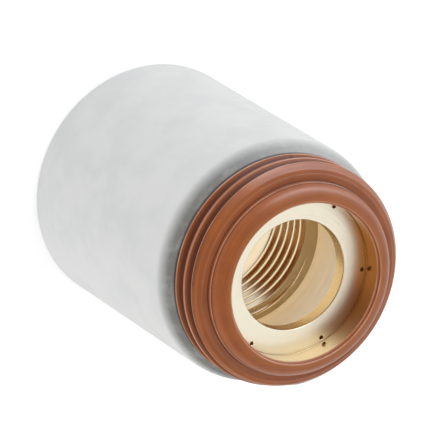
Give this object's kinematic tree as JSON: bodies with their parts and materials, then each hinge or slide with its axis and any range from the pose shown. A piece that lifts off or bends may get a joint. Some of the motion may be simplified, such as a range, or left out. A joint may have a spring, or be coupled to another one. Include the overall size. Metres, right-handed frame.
{
  "type": "plasma torch retaining cap",
  "caption": "Round retaining cap with a grey moulded sleeve, a threaded brown nose ring and a brass liner with a lip bore and gas holes.",
  "frame": {"origin": "centre of the shell's rear face, on the cap's axis", "axes": "+Z along the axis from the rear face to the nose; +X through one of the gas holes"},
  "size_m": [0.031, 0.031, 0.0416],
  "materials": {
    "shell": "fine matte moulding",
    "liner": "satin turned",
    "ring": "satin moulding"
  },
  "bodies": {
    "root": {"outer_shell": "shell", "brass_liner": "liner", "nose_ring": "ring"}
  },
  "joints": []
}
